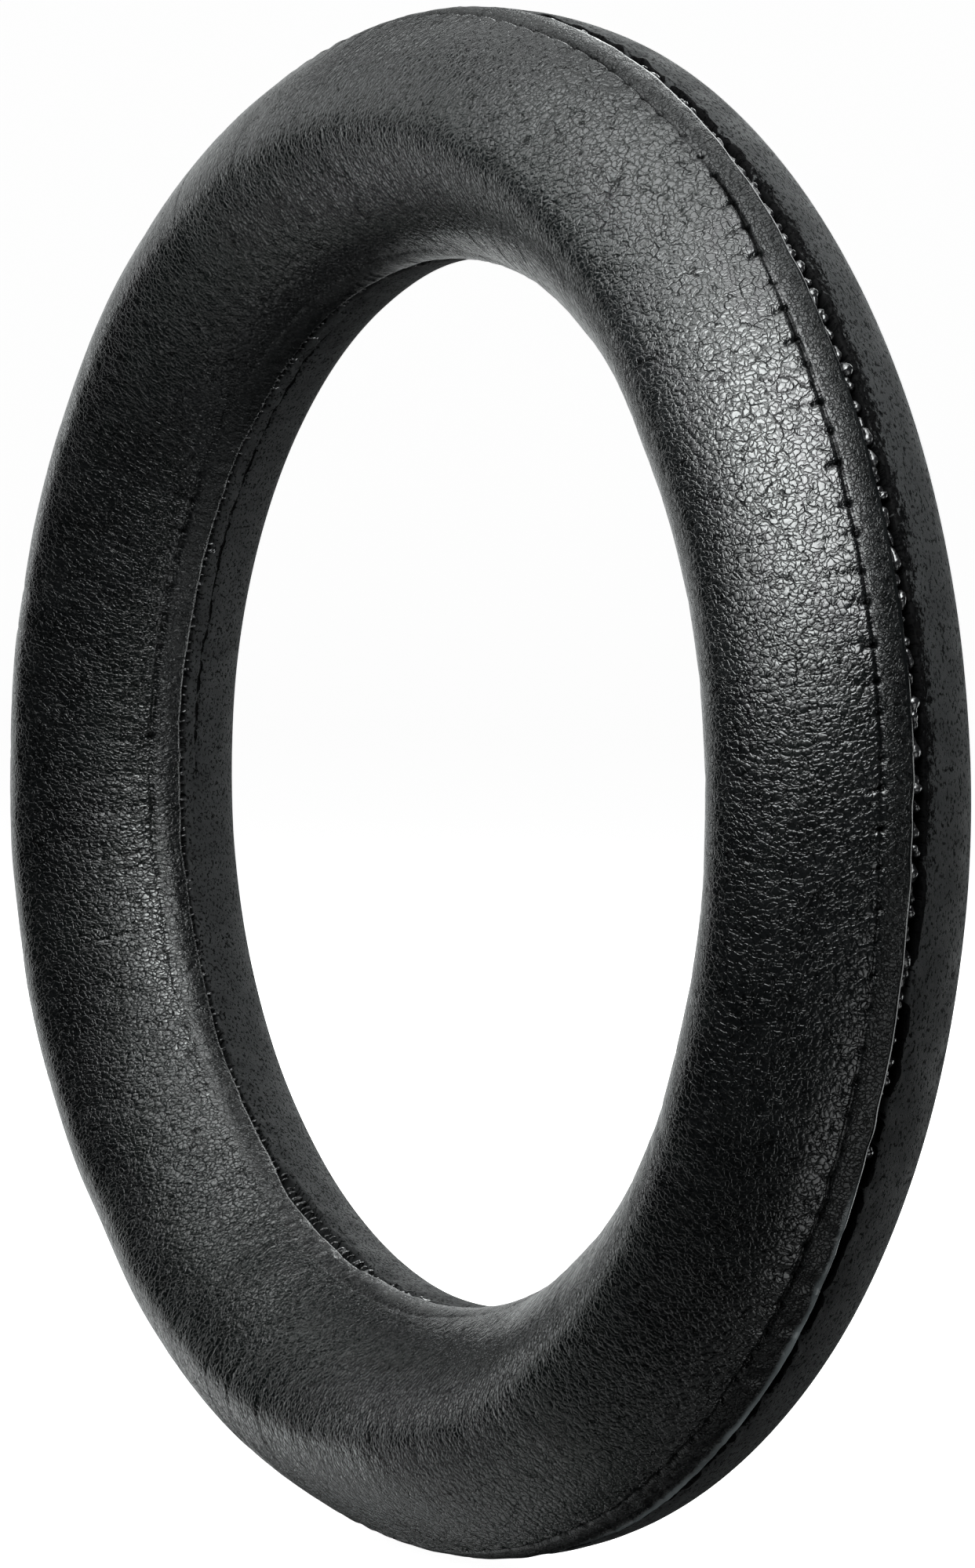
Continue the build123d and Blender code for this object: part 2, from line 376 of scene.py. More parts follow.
def to_nearest(angles):
    """For every turn of the grid: the nearest stitch's number, and the signed angle to it."""
    wrapped = np.concatenate([angles - TAU, angles, angles + TAU])
    k = np.abs(phi[:, None] - wrapped[None, :]).argmin(1)
    return k % len(angles), phi - wrapped[k]


def row_in_cad(node, pitch_guess):
    """Radius, depth and number of stitches of a row of thread in the frame."""
    radius, depth = node_profile(node)
    return radius.mean(), depth.mean(), int(round(TAU * radius.mean() / pitch_guess))


TOP_PITCH, SEAM_PITCH = 2.3, 1.3
OUTER_TOP_R, OUTER_TOP_Y, OUTER_TOP_N = row_in_cad("outer_topstitch_thread", TOP_PITCH)
INNER_TOP_R, INNER_TOP_Y, INNER_TOP_N = row_in_cad("inner_topstitch_thread", TOP_PITCH)
outer_top = stitch_row(OUTER_TOP_N, 0.16, 1)
inner_top = stitch_row(INNER_TOP_N, 0.16, 2)
TOPSTITCH = 2.1                  # topstitch line from the folded edge
frayed = 0.14 * FRAYED_STITCHES * line_noise(0.9, 15)
wander = {                       # how far each topstitch line strays
    1: 0.16 * line_noise(9.0, 11) + 0.06 * line_noise(2.5, 12) + frayed,
    -1: 0.16 * line_noise(7.0, 13) + 0.06 * line_noise(2.0, 14)}


# ------------------------------------------------------------------ relief of the grained front
CREASE_DEPTH = 0.34                      # the line that a topstitch presses into the leather
PUFF_HEIGHT = 0.19                       # leather pushed up beside it
NOTCH_DEPTH = 0.26                       # short folds that run from a stitch hole towards the crown
FURROW_DEPTH = 0.07                      # longer, softer ones
BELT = 9                                 # beyond this distance a seam has no effect on the leather


class Topstitch:
    """One topstitch line's shape, by distance from the fold: crease, stitch pits, notches, puffed leather."""

    def __init__(self, side):
        angles = outer_top if side > 0 else inner_top
        radius = OUTSIDE if side > 0 else INSIDE
        rng = np.random.default_rng(20 + side)
        k, gap = to_nearest(angles)
        self.side = side
        self.gap = gap * radius + 0.10 * line_noise(1.5, 29 + side)
        self.hole = rng.uniform(0.3, 1.0, len(angles))[k]
        self.reach = rng.uniform(0.0, 1.0, len(angles))[k] ** 0.7
        self.wrinkle = rng.uniform(0.0, 1.0, len(angles))[k] ** 3
        self.tight = np.clip(0.62 + 0.5 * line_noise(5.0, 31), 0.2, 1.0)
        if side > 0:
            pull = 0.30 + 0.70 * DEEP_STITCHES
            self.tight = self.tight * (1 - 0.45 * SLACK_STITCHES)
        else:
            pull = 0.05 + 0.40 * INNER_PULL
            self.tight = (0.12 + 0.30 * INNER_CREASE) * self.tight
        self.hole = self.hole * pull
        self.reach = self.reach * pull

    def line(self, u):
        """Distance past the stitch line, towards the crown."""
        return u - TOPSTITCH - wander[self.side]

    def relief(self, u):
        v = self.line(u)
        past = np.clip(v, 0, None)
        bulge = np.sin(np.clip(np.abs(self.gap) / TOP_PITCH, 0, 0.5) * np.pi) ** 0.7
        crease = -CREASE_DEPTH * self.tight * bell(v, 0.13)
        puff = PUFF_HEIGHT * self.tight * step_up(v, 0.02, 0.30) * np.exp(-past / 0.9) * (0.3 + 0.7 * bulge)
        pit = -CREASE_DEPTH * self.hole * bell(self.gap, 0.16) * bell(v, 0.20)
        notch = -NOTCH_DEPTH * self.reach * bell(self.gap + 0.25 * v, 0.11) * step_up(v, -0.1, 0.05)
        notch = notch * (1 - step_up(v, 0.1 + 0.6 * self.reach, 0.35 + 0.75 * self.reach))
        furrow = -FURROW_DEPTH * self.wrinkle * bell(self.gap, 0.30) * step_up(v, 0.1, 0.6)
        furrow = furrow * np.exp(-past / 2.2)
        return crease + puff + pit + notch + furrow

    def crease_shade_and_seam_dark(self, u):
        """Painted shade: how dark the leather is coloured in the crease, its notches and its stitch pits."""
        v = self.line(u)
        crease = self.tight * bell(v, 0.12)
        notch = self.reach * bell(self.gap + 0.25 * v, 0.12)
        notch = notch * step_up(v, -0.1, 0.05) * (1 - step_up(v, 0.3, 0.9))
        pit = self.hole * bell(self.gap, 0.16) * bell(v, 0.2)
        return np.clip(1.3 * crease + 1.2 * notch + pit, 0, 1)


topstitch_lines = {side: Topstitch(side) for side in (1, -1)}
settled_rise = settle(front_line, {1: outer_top, -1: inner_top})
settled_rise = smooth_sample(settled_rise.T, phi / TAU * SETTLE_TURNS, True).T


def band_relief(u, side):
    """The turned edge between the topstitch and the seam: slightly puffed and puckered."""
    v = np.clip(u / TOPSTITCH, 0, 1)
    hump = 0.08 * np.sin(np.pi * v)
    gape = OPEN_EDGE if side > 0 else LADDER
    ridge = 1 - np.abs(ring_noise(u, 0.9, 41 + side, 2.5))
    pucker = (0.05 + 0.20 * gape) * (ridge - 0.6) * np.sin(np.pi * v)
    lip = 0.07 * bell(u - 0.25, 0.28) * (0.5 + 0.5 * line_noise(1.6, 43 + side))
    return hump + pucker + lip + (0.30 * gape * bell(u - 0.10, 0.40) if side > 0 else 0)


def gathers(u, side):
    """Fine gathers that run from a seam into the panel, stronger on the tighter inside wall."""
    size, height = (1.3, 0.02) if side > 0 else (0.8, 0.025)
    wave = ring_noise(u, size, 51 + side, 4.0)
    return height * wave * np.exp(-u / 3.0)


def crown_relief(s):
    """Slow swells of the filling, a few long soft creases and many short fine ones across the tube."""
    u = np.minimum(s, FRONT_LENGTH - s)
    swell = (0.16 + 0.12 * LOW_FOLDS) * ring_noise(s, 13.0, 61, 0.9)
    swell = swell + (0.07 + 0.05 * LOW_FOLDS) * ring_noise(s, 6.0, 62, 1.6)
    furrows = -0.06 * bell(ring_noise(s, 3.4, 63, 5.0), 0.10)
    furrows = furrows * step_up(ring_noise(s, 11.0, 64, 1.0), 0.1, 0.6)
    cracks = -0.024 * bell(ring_noise(s, 0.85, 65, 1.7), 0.13)
    cracks = cracks * step_up(ring_noise(s, 5.0, 66, 1.0), -0.5, 0.3)
    return step_up(u, 1.5, 5.0) * (swell + furrows) + step_up(u, 2.2, 3.2) * cracks


def front_sides(s):
    """Both sides of the front panel, each with the distance from its folded edge."""
    return (1, s), (-1, FRONT_LENGTH - s)


def front_relief(s):
    row = (s[:, 0] + GAP) / front_line.length * (SETTLE_ROWS - 1)
    total = crown_relief(s) + smooth_sample(settled_rise, row, False)
    for side, u in front_sides(s):
        total = total + np.where(u < BELT, topstitch_lines[side].relief(u) + gathers(u, side), 0)
        total = total + np.where(u < TOPSTITCH, band_relief(u, side), 0)
    return total


# Painted shade in both topstitch lines' creases, notches and stitch pits.
def front_crease_shade(s):
    return sum(np.where(u < BELT, topstitch_lines[side].crease_shade_and_seam_dark(u), 0) for side, u in front_sides(s))


def rubbed_edge(s):
    """Pale worn leather on the gaping folded edge."""
    width = 0.48 + 0.14 * line_noise(2.0, 46)
    worn = np.clip(0.75 + 0.35 * line_noise(3.0, 45), 0, 1)
    return OPEN_EDGE * (1 - step_up(s - width, -0.12, 0.12)) * worn


def crown_share(s):
    """1 on the pebbled crown, 0 on the flattened outer band, where the grain is finer and duller."""
    return step_up(s, 1.8, 2.2) * (0.6 + 0.4 * step_up(FRONT_LENGTH - s, 1.8, 2.2))


def painted_sheen_wall(s):
    """A painted pale bluish sheen, in streaks low on the outside wall."""
    wall = LOW_SHEEN * step_up(s, 2.4, 3.4) * (1 - step_up(s, 7.0, 12.0))
    return wall * step_up(ring_noise(s, 4.0, 48, 0.7), -0.1, 0.5)


def burnished_edge(s):
    """The outside fold, smoothed by handling."""
    return 1 - step_up(s + 0.08 * line_noise(1.5, 47), 0.30, 0.46)


def beside(u):
    """1 at a folded edge, fading into the panel."""
    return np.exp(-u / 0.9)


def edge_shift(s, length, size, seed):
    """Ragged folded edges: slides the leather along the section near both seams."""
    outer = (0.13 * line_noise(size, seed) + 0.06 * line_noise(1.2, seed + 1)) * beside(s)
    inner = (0.13 * line_noise(size, seed + 2) + 0.06 * line_noise(1.0, seed + 3)) * beside(length - s)
    return outer - inner


def front_shift(s):
    """Closes the inside seam but for its ladder, and opens the outside one where it gapes."""
    closed = (0.16 - 0.60 * LADDER) * beside(FRONT_LENGTH - s)
    return edge_shift(s, FRONT_LENGTH, 4.0, 71) + closed - 0.12 * OPEN_EDGE * beside(s)


def rear_shift(s):
    closed = (0.20 - 0.50 * LADDER) * beside(REAR_LENGTH - s)
    return edge_shift(s, REAR_LENGTH, 3.0, 81) + 0.10 * beside(s) + closed


STRIP = 0.9                      # width of the narrow strip that the inside seam's back edge shows


def strip_line(s):
    """Distance from the ragged crease that parts the inside seam's strip from the back panel."""
    return REAR_LENGTH - s - STRIP - 0.10 * line_noise(3.0, 94) - 0.07 * line_noise(0.8, 95)


def rear_relief(s):
    """Ragged edges, small tucks and slow swells, and the inside strip's crease."""
    u = np.minimum(s, REAR_LENGTH - s)
    ragged = -0.16 * bell(u - 0.35, 0.45) * np.clip(0.4 + ring_noise(s, 1.1, 91, 1.2), 0, 1)
    tuck = 0.035 * ring_noise(s, 1.6, 92, 4.0) * np.exp(-u / 1.6)
    swell = 0.05 * ring_noise(s, 9.0, 93, 1.5) * step_up(u, 0.5, 3.0) * (1 - step_up(u, 7.5, 9.0))
    crease = -0.20 * STRIP_SEEN * bell(strip_line(s), 0.11) * (0.7 + 0.3 * line_noise(2.0, 96))
    return ragged + tuck + swell + crease


def rear_seam_dark_and_crease_shade(s):
    """A dark ragged band beside the outside seam and a dark line at its folded edge, and painted shade in the
    inside seam's crease and on its strip.
    """
    upper = 0.30 + 0.70 * PROUD_SEAM
    reach = s + 0.25 * ring_noise(s, 1.2, 97, 1.6)
    # A dark ragged band beside the outside seam, wider and darker round its proud stretch.
    darkened = 0.60 * upper * (1 - step_up(reach, 0.0, 1.0 + 1.8 * upper))
    # A dark line at the folded edge.
    line = 0.9 * (1 - step_up(s + 0.25 * ring_noise(s, 0.8, 94, 1.0), 0.05, 0.35))
    # Painted shade in the inside seam's crease, and a little on its strip.
    strip = step_up(-strip_line(s), 0.0, 0.1)
    crease = bell(strip_line(s), 0.12) * (0.7 + 0.4 * line_noise(0.9, 99))
    return np.clip(np.maximum(darkened, line) + STRIP_SEEN * (crease + 0.30 * strip), 0, 1)


# ------------------------------------------------------------------ thread
def unit(vectors):
    return vectors / np.linalg.norm(vectors, axis=2, keepdims=True)


def travelled(paths):
    """Distance along each path at each of its points."""
    return np.cumsum(np.linalg.norm(np.diff(paths, axis=1, prepend=paths[:, :1]), axis=2), axis=1)


def tubes(name, paths, radius, sides=10):
    """Closed threads: paths is stitches x points x 3 in mm, radius is stitches x points."""
    count, points, _ = paths.shape
    tangent = unit(np.gradient(paths, axis=1))
    across = unit(np.cross(tangent, unit(paths * [1, 0, 1])))
    up = np.cross(across, tangent)
    turn = np.arange(sides) / sides * TAU
    ring = (np.cos(turn)[:, None] * across[:, :, None, :] + np.sin(turn)[:, None] * up[:, :, None, :])
    verts = paths[:, :, None, :] + ring * radius[:, :, None, None]
    i, j = np.meshgrid(np.arange(points - 1), np.arange(sides), indexing="ij")
    j2 = (j + 1) % sides
    quads = np.stack([i * sides + j, (i + 1) * sides + j, (i + 1) * sides + j2, i * sides + j2], -1)
    half = np.arange(sides // 2 - 1)
    cap = np.stack([half, half + 1, sides - 2 - half, sides - 1 - half], -1)
    last = cap[:, ::-1] + (points - 1) * sides
    block = np.concatenate([quads.reshape(-1, 4), cap, last])
    faces = (block[None] + (np.arange(count) * points * sides)[:, None, None]).reshape(-1, 4)
    verts = verts.reshape(-1, 3)
    obj = new_mesh(name, verts, facing_out(verts, faces))
    stitch = np.arange(count)[:, None, None]
    twist = np.broadcast_arrays(travelled(paths)[:, :, None], turn[None, None, :], stitch)
    add_attribute(obj, "twist", "FLOAT_VECTOR", np.stack(twist, -1))
    return obj


def stitch_paths(angles, half_length, lift, radius, y, slant, sink, points):
    """Bowed stitches: middle lifted towards the viewer, both ends sunk into their holes."""
    t = np.linspace(-1, 1, points)[None, :]
    a = angles[:, None] + half_length * t / radius
    r = radius + lift * (1 - t ** 2) - sink * np.abs(t) ** 5
    return np.stack([r * np.cos(a), y + slant * t + 0 * a, r * np.sin(a)], -1)


def plies(paths, thick, pitch, seed):
    """Splits each stitch into two plies laid round each other."""
    rng = np.random.default_rng(seed)
    turn = travelled(paths) / pitch * TAU + rng.uniform(0, TAU, (len(paths), 1))
    radial = unit(paths * [1, 0, 1])
    across = np.cross(unit(np.gradient(paths, axis=1)), radial)
    lay = 0.42 * thick[:, :, None] * (np.cos(turn)[:, :, None] * across + np.sin(turn)[:, :, None] * radial)
    return np.concatenate([paths + lay, paths - lay]), np.concatenate([thick, thick]) * 0.70


# ------------------------------------------------------------------ pieces
FRONT_MESH = {"fold": 0.35, "fine": 0.11, "coarse": 0.26}      # fold radius, and the mesh's steps in mm
REAR_MESH = {"fold": 0.30, "fine": 0.12, "coarse": 0.32}
TOP_THREAD = 0.13                        # radius of the topstitch thread
TOP_SINK = 0.16                          # how far it has been pulled into its crease
TOP_POINTS, SEAM_POINTS = 9, 15          # points along one stitch
SEAM_STITCH = {                          # both walls' closing stitches, in mm; the ranges are drawn from
    1: {"legs": 1, "half_length": (0.22, 0.72), "slant": (-0.04, 0.22), "thick": 0.28},
    -1: {"legs": 2, "half_length": (0.03, 0.08), "slant": (0.42, 0.58), "thick": 0.12}}


def grained_front():
    marks = {"crease_shade_and_seam_dark": front_crease_shade, "rubbed": rubbed_edge, "crown": crown_share, "burnished": burnished_edge,
             "painted_sheen": painted_sheen_wall}
    obj = shell_mesh("front_cover_leather", front_line, relief=front_relief, shift=front_shift, marks=marks,
                     **FRONT_MESH)
    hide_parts("front_cover")
    return obj


def smooth_rear():
    obj = shell_mesh("rear_cover_leather", rear_line, relief=rear_relief, shift=rear_shift,
                     marks={"crease_shade_and_seam_dark": rear_seam_dark_and_crease_shade}, **REAR_MESH)
    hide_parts("rear_cover")
    return obj


def topstitches(side):
    """Thread that lies sunk in its crease, so that little of it shows."""
    where = "outer" if side > 0 else "inner"
    angles = outer_top if side > 0 else inner_top
    mid = (angles + np.roll(angles, -1)) / 2
    mid[-1] += np.pi
    radius = (OUTER_TOP_R if side > 0 else INNER_TOP_R) - TOP_SINK * side
    half_length = np.full((len(mid), 1), 0.46 * (TAU * radius / len(angles)))
    drift = np.interp(mid % TAU, phi, wander[side], period=TAU)
    y = ((OUTER_TOP_Y if side > 0 else INNER_TOP_Y) - drift)[:, None]
    paths = stitch_paths(mid, half_length, 0.05 * side, radius, y, 0.03, 0.55 * side, TOP_POINTS)
    obj = tubes(where + "_topstitches", paths, np.full(paths.shape[:2], TOP_THREAD))
    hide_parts(where + "_topstitch_thread")
    return obj


def seam_stitches(side):
    """Waxed stitches: lumpy single strands along the outside groove, two-ply rungs across the inside one."""
    where = "outer" if side > 0 else "inner"
    shape = SEAM_STITCH[side]
    radius, y, count = row_in_cad(where + "_seam_thread", SEAM_PITCH)
    rng = np.random.default_rng(5 + side)
    angles = stitch_row(count * shape["legs"], 0.22, 6 + side)
    n = len(angles)

    def draw(low, high):
        return rng.uniform(low, high, n)[:, None]

    half_length, slant = draw(*shape["half_length"]), draw(*shape["slant"])
    lift = draw(-0.10, 0.16) * side
    if side > 0:
        buried = np.interp(angles % TAU, phi, 1 - PROUD_SEAM, period=TAU)[:, None]
        lift = lift - 0.30 * buried
    off = 0.16 * side + draw(-0.14, 0.10)
    paths = stitch_paths(angles, half_length, lift, radius, y - off, -slant, 0.5 * side, SEAM_POINTS)
    t = np.linspace(-1, 1, SEAM_POINTS)[None, :]
    lump = 1 + 0.34 * np.sin(draw(1.5, 5.0) * t + draw(0, TAU))
    thick = shape["thick"] * draw(0.35, 1.3) * (1 - 0.35 * np.abs(t) ** 3) * lump
    if side < 0:
        paths, thick = plies(paths, thick, 3.6, 8 + side)
    obj = tubes(where + "_seam_stitches", paths, thick, 8)
    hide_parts(where + "_seam_thread")
    return obj


# ------------------------------------------------------------------ materials
GRAIN_DEPTH = 0.000030           # bump heights, in metres
PORE_DEPTH = 0.000040
PEBBLE = 3.0                     # grain cells to a millimetre, before they are drawn out
LONG_CELL = 1.6
FINE_CELL = 4.2


class Nodes:
    """Short calls for building a node material."""

    def __init__(self, name):
        self.material = bpy.data.materials.new(name)
        self.material.use_nodes = True
        self.tree = self.material.node_tree
        self.tree.nodes.clear()

    def add(self, kind, settings=None, **inputs):
        """A new node. An input is named by its socket, with _ for a space, or by i and its number."""
        node = self.tree.nodes.new("ShaderNode" + kind)
        for key, value in (settings or {}).items():
            setattr(node, key, value)
        for key, value in inputs.items():
            numbered = key[0] == "i" and key[1:].isdigit()
            socket = node.inputs[int(key[1:]) if numbered else key.replace("_", " ")]
            if isinstance(value, bpy.types.NodeSocket):
                self.tree.links.new(value, socket)
            else:
                socket.default_value = value
        return node

    def math(self, operation, a, b=0.0):
        return self.add("Math", {"operation": operation}, i0=a, i1=b).outputs[0]

    def times(self, a, b):
        return self.math("MULTIPLY", a, b)

    def inverse(self, value):
        return self.math("SUBTRACT", 1.0, value)

    def vector(self, operation, a, b):
        return self.add("VectorMath", {"operation": operation}, i0=a, i1=b).outputs[0]

    def ramp(self, value, low, high, out_low=0.0, out_high=1.0):
        node = self.add("MapRange", {"interpolation_type": "SMOOTHSTEP"}, Value=value,
                        From_Min=low, From_Max=high, To_Min=out_low, To_Max=out_high)
        return node.outputs[0]

    def mix_colour(self, factor, a, b):
        node = self.add("Mix", {"data_type": "RGBA"})
        for index, value in ((0, factor), (6, a), (7, b)):
            if isinstance(value, bpy.types.NodeSocket):
                self.tree.links.new(value, node.inputs[index])
            else:
                node.inputs[index].default_value = value if index == 0 else (*value, 1)
        return node.outputs[2]

    def attribute(self, name, output="Fac"):
        return self.add("Attribute", {"attribute_name": name}).outputs[output]

    def noise(self, where, scale, detail=2.0, rough=0.5):
        node = self.add("TexNoise", Vector=where, Scale=scale, Detail=detail, Roughness=rough)
        return node.outputs["Fac"]

    def cells(self, where, scale, feature="DISTANCE_TO_EDGE"):
        return self.add("TexVoronoi", {"feature": feature}, Vector=where, Scale=scale).outputs["Distance"]

    def bump(self, height, distance, strength=1.0):
        return self.add("Bump", Height=height, Distance=distance, Strength=strength).outputs[0]

    def finish(self, **inputs):
        shader = self.add("BsdfPrincipled", **inputs)
        out = self.add("OutputMaterial")
        self.tree.links.new(shader.outputs[0], out.inputs[0])
        return self.material


# Colour of the painted shade in the grain's cracks.
CRACK_SHADE = (0.0010, 0.0010, 0.0010)


def grain_places(n, grain):
    """The grain's coordinates, warped and drawn out across the tube, and drawn out more for long cracks."""
    warp = n.add("TexNoise", Vector=grain, Scale=1.6, Detail=2.0).outputs["Color"]
    warp = n.vector("MULTIPLY", n.vector("SUBTRACT", warp, (0.5, 0.5, 0.5)), (0.6, 0.6, 0.6))
    place, long_place = (n.vector("ADD", n.vector("MULTIPLY", grain, (1.0, 1.0, stretch)), warp)
                         for stretch in (0.84, 0.58))
    return place, long_place


def grain_cracks(n, grain, place, long_place, crown, smooth_edge):
    """How black the leather is painted between its pebbles, as shade in its cracks: strong and long on the
    crown, fine on the turned edge.
    """
    strong = n.ramp(n.noise(grain, 1.1, 2.0), 0.42, 0.58)
    pebble = n.ramp(n.cells(place, PEBBLE), 0.0, 0.14)
    long_cell = n.ramp(n.cells(long_place, LONG_CELL), 0.0, 0.085)
    fine_cell = n.ramp(n.cells(place, FINE_CELL), 0.0, 0.20)
    groove = n.times(n.inverse(pebble), n.ramp(strong, 0.0, 1.0, 0.35, 0.65))
    crack = n.times(n.inverse(long_cell), n.ramp(strong, 0.0, 1.0, 1.0, 0.15))
    crack_shade = n.times(n.math("MAXIMUM", groove, crack), n.ramp(crown, 0.0, 1.0, 0.2, 1.0))
    fine = n.times(n.inverse(fine_cell), n.ramp(crown, 0.0, 1.0, 0.85, 0.0))
    return n.times(n.math("MAXIMUM", crack_shade, fine), n.inverse(smooth_edge))


def grain_height(n, grain, place, crown, smooth_edge, crack_shade):
    """Plump domes, parted by cracks, with a fine tooth over them."""
    middle = n.cells(place, PEBBLE, "F1")
    dome = n.inverse(n.times(middle, n.times(middle, 2.2)))
    patch = n.ramp(n.noise(grain, 0.10, 3.0), 0.35, 0.65, 0.7, 1.0)
    height = n.times(dome, n.times(patch, n.ramp(crown, 0.0, 1.0, 0.3, 0.74)))
    tooth = n.times(n.noise(grain, 10.0, 2.0, 0.6), n.ramp(crown, 0.0, 1.0, 0.8, 0.12))
    height = n.math("SUBTRACT", n.math("ADD", height, tooth), n.times(crack_shade, 0.9))
    return n.times(height, n.inverse(n.times(smooth_edge, 0.85)))


def grained_colour(n, grain, crease_shade_and_seam_dark, rubbed, crack_shade):
    """Near black, with painted shade in its cracks, pale specks that are partly dust and partly painted
    glints, a painted pale bluish sheen in streaks, painted shade in the topstitch creases and a pale worn
    edge.
    """
    tone = n.ramp(n.noise(grain, 0.35, 4.0), 0.3, 0.7)
    colour = n.mix_colour(tone, (0.0030, 0.0034, 0.0036), (0.0058, 0.0064, 0.0067))
    # Painted shade in the cracks.
    colour = n.mix_colour(n.times(crack_shade, 0.8), colour, CRACK_SHADE)
    # Pale specks: partly dust, partly painted glints.
    speck = n.math("LESS_THAN", n.cells(grain, 1.5, "F1"), 0.045)
    dust_and_glint = n.times(speck, n.ramp(crease_shade_and_seam_dark, 0.0, 0.3, 1.0, 0.0))
    colour = n.mix_colour(n.times(dust_and_glint, 0.6), colour, (0.14, 0.15, 0.15))
    # Painted pale bluish sheen, in streaks low on the outside wall.
    sheen_streaks = n.times(n.attribute("painted_sheen"), n.ramp(n.noise(grain, 2.4, 4.0, 0.6), 0.40, 0.66))
    colour = n.mix_colour(n.times(sheen_streaks, 0.7), colour, (0.040, 0.047, 0.051))
    # Painted shade in the topstitch creases, notches and stitch pits.
    colour = n.mix_colour(crease_shade_and_seam_dark, colour, (0.0008, 0.0008, 0.0008))
    return n.mix_colour(rubbed, colour, (0.210, 0.236, 0.245))


def grained_leather():
    """Black pebbled nappa: small plump cells parted by cracks with painted shade in them, a little longer
    across the tube.
    """
    n = Nodes("grained_leather")
    grain = n.attribute("grain", "Vector")
    crease_shade_and_seam_dark, rubbed, depth = (n.attribute(name) for name in ("crease_shade_and_seam_dark", "rubbed", "depth"))
    crown, burnished = n.attribute("crown"), n.attribute("burnished")
    smooth_edge = n.math("MAXIMUM", rubbed, burnished)
    place, long_place = grain_places(n, grain)
    crack_shade = grain_cracks(n, grain, place, long_place, crown, smooth_edge)
    height = grain_height(n, grain, place, crown, smooth_edge, crack_shade)
    rough = n.ramp(n.noise(grain, 2.2, 3.0), 0.3, 0.7, 0.15, 0.25)
    rough = n.math("ADD", rough, n.times(n.inverse(crown), 0.10))
    rough = n.math("SUBTRACT", rough, n.times(smooth_edge, 0.12))
    shine = n.times(n.ramp(crease_shade_and_seam_dark, 0.1, 0.9, 0.72, 0.02), n.ramp(depth, 0.5, 0.9, 1.0, 0.3))
    shine = n.times(shine, n.inverse(n.times(crack_shade, 0.93)))
    shine = n.times(shine, n.ramp(crown, 0.0, 1.0, 0.62, 1.0))
    return n.finish(Base_Color=grained_colour(n, grain, crease_shade_and_seam_dark, rubbed, crack_shade), Roughness=rough,
                    Normal=n.bump(height, GRAIN_DEPTH), Specular_IOR_Level=shine)


def smooth_leather():
    """The back panel: matte, fine pored, darker beside the outside seam, with painted shade in the inside
    seam's crease.
    """
    n = Nodes("smooth_leather")
    grain = n.attribute("grain", "Vector")
    crease_shade_and_seam_dark, depth = n.attribute("crease_shade_and_seam_dark"), n.attribute("depth")
    place = n.vector("MULTIPLY", grain, (1.0, 1.0, 1.8))
    specks = n.ramp(n.noise(place, 3.4, 4.0, 0.65), 0.39, 0.49)
    pores = n.ramp(n.cells(place, 4.5, "F1"), 0.10, 0.34)
    soft = n.noise(grain, 0.5, 4.0)
    colour = n.mix_colour(specks, (0.002, 0.002, 0.0022), (0.022, 0.0230, 0.0236))
    colour = n.mix_colour(n.times(n.ramp(soft, 0.3, 0.7), 0.45), colour, (0.0135, 0.0140, 0.0144))
    # Darker beside the outside seam, with painted shade in the inside seam's crease; ragged by noise.
    darkened = n.ramp(n.math("SUBTRACT", crease_shade_and_seam_dark, n.noise(place, 2.6, 5.0, 0.75)), -0.04, 0.05)
    colour = n.mix_colour(darkened, colour, (0.0015, 0.0015, 0.0016))
    height = n.math("ADD", n.times(specks, 1.2), n.times(pores, 0.5))
    height = n.math("ADD", height, n.times(n.noise(grain, 8.0, 2.0), 0.5))
    rough = n.ramp(soft, 0.3, 0.7, 0.62, 0.76)
    shine = n.times(n.ramp(darkened, 0.0, 1.0, 0.22, 0.04), n.ramp(depth, 0.6, 1.0, 1.0, 0.2))
    shine = n.times(shine, n.ramp(specks, 0.0, 1.0, 0.15, 1.0))
    return n.finish(Base_Color=colour, Roughness=rough, Normal=n.bump(height, PORE_DEPTH),
                    Specular_IOR_Level=shine)


def darker(shade, share):
    return tuple(share * c for c in shade)


def waxed_thread(name, roughness, shade, wax_coat):
    """Black twisted thread with a skin of wax."""
    n = Nodes(name)
    twist = n.attribute("twist", "Vector")
    parts = n.add("SeparateXYZ", i0=twist)
    phase = n.math("ADD", n.times(parts.outputs[0], 14.0), parts.outputs[1])
    ply = n.math("SINE", n.times(phase, 2.0))
    wax = n.noise(n.add("TexCoord").outputs["Object"], 900.0, 2.0)
    normal = n.bump(n.math("ADD", n.times(ply, 0.25), wax), 0.00005, 0.8)
    colour = n.mix_colour(wax, darker(shade, 0.5), shade)
    rough = n.ramp(wax, 0.3, 0.7, roughness, roughness + 0.15)
    return n.finish(Base_Color=colour, Roughness=rough, Normal=normal,
                    Coat_Weight=wax_coat, Coat_Roughness=0.08)


def open_cell(name, shade, scale):
    """Polyurethane foam: small open cells."""
    n = Nodes(name)
    where = n.add("TexCoord").outputs["Object"]
    cell = n.cells(where, scale)
    colour = n.mix_colour(n.ramp(cell, 0.0, 0.25), darker(shade, 0.4), shade)
    normal = n.bump(n.ramp(cell, 0.0, 0.3), 0.0003)
    return n.finish(Base_Color=colour, Roughness=0.9, Normal=normal)


def woven(name, shade, scale):
    """Plain weave or fine knit."""
    n = Nodes(name)
    where = n.add("TexCoord").outputs["Object"]
    one = n.add("TexWave", {"bands_direction": "X"}, Vector=where, Scale=scale).outputs["Fac"]
    two = n.add("TexWave", {"bands_direction": "Z"}, Vector=where, Scale=scale).outputs["Fac"]
    weave = n.times(one, two)
    colour = n.mix_colour(weave, darker(shade, 0.5), shade)
    return n.finish(Base_Color=colour, Roughness=0.85, Normal=n.bump(weave, 0.0001), Sheen_Weight=0.2)


